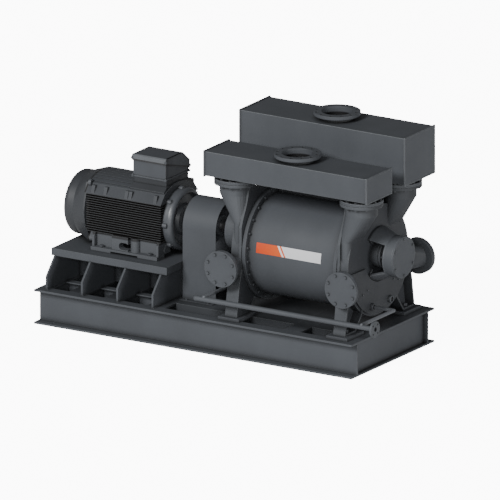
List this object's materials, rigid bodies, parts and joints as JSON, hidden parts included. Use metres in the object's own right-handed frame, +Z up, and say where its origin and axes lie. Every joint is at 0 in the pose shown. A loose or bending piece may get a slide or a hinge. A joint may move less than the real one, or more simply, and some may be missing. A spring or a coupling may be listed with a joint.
{
  "type": "liquid ring vacuum pump set",
  "caption": "Motor-driven liquid ring vacuum pump on a channel base, with a finned motor, guarded coupling, barrel casing, end housings and two box headers with flanged nozzles.",
  "frame": {"origin": "middle of the foundation bolt pattern, on the underside of the base", "axes": "+X along the base from the motor to the pump, +Y to the back, +Z up"},
  "size_m": [3.5925, 1.467, 2.141],
  "materials": {
    "grey_paint": "satin",
    "motor_paint": "satin",
    "bare_steel": "machined",
    "cast_metal": "as cast",
    "copper": "varnished",
    "black_rubber": "matte",
    "packing": "braided"
  },
  "bodies": {
    "set": {"base_front_beam": "grey_paint", "base_rear_beam": "grey_paint", "base_end_beams": "grey_paint", "base_cross_members": "grey_paint", "base_deck_trays": "grey_paint", "pedestal_ribs": "grey_paint", "pedestal_stringers": "grey_paint", "motor_bed_plate": "grey_paint", "pump_foot_pads": "grey_paint", "coupling_guard": "grey_paint", "pump_casing": "grey_paint", "de_housing": "grey_paint", "nde_housing": "grey_paint", "de_bearing_bracket": "grey_paint", "nde_bearing_bracket": "grey_paint", "pump_bearing_covers": "grey_paint", "cleanout_covers": "grey_paint", "front_header": "grey_paint", "rear_header": "grey_paint", "service_pipe": "grey_paint", "service_branches": "grey_paint", "casing_bolts": "grey_paint", "cleanout_bolts": "grey_paint", "header_bolts": "grey_paint", "motor_frame": "motor_paint", "motor_de_shield": "motor_paint", "motor_nde_shield": "motor_paint", "fan_cover": "motor_paint", "terminal_box": "motor_paint", "terminal_box_lid": "motor_paint", "lifting_eyes": "motor_paint", "motor_foot_bolts": "bare_steel", "cable_gland": "bare_steel", "motor_bearing_outers": "bare_steel", "pump_bearing_outers": "bare_steel", "packing_glands": "bare_steel", "stator_core": "bare_steel", "de_port_plate": "cast_metal", "nde_port_plate": "cast_metal", "stator_windings": "copper", "header_gaskets": "black_rubber", "packing_rings": "packing"},
    "motor_rotor": {"motor_shaft": "bare_steel", "motor_rotor_core": "bare_steel", "motor_bearing_inners": "bare_steel", "cooling_fan": "cast_metal", "coupling_motor_hub": "cast_metal"},
    "pump_rotor": {"pump_shaft": "bare_steel", "impeller": "cast_metal", "coupling_pump_hub": "cast_metal", "coupling_bushes": "black_rubber", "pump_bearing_inners": "bare_steel"}
  },
  "joints": [
    {"name": "pump_spin", "type": "hinge", "parent": "set", "child": "pump_rotor", "pos_m": [0.903, 0, 0.982], "axis": [1, 0, 0], "continuous": true},
    {"name": "motor_spin", "type": "hinge", "parent": "set", "child": "motor_rotor", "pos_m": [-0.961, 0, 0.982], "axis": [1, 0, 0], "continuous": true}
  ],
  "couplings": [
    {"joint": "motor_spin", "follows": "pump_spin", "ratio": 1}
  ]
}
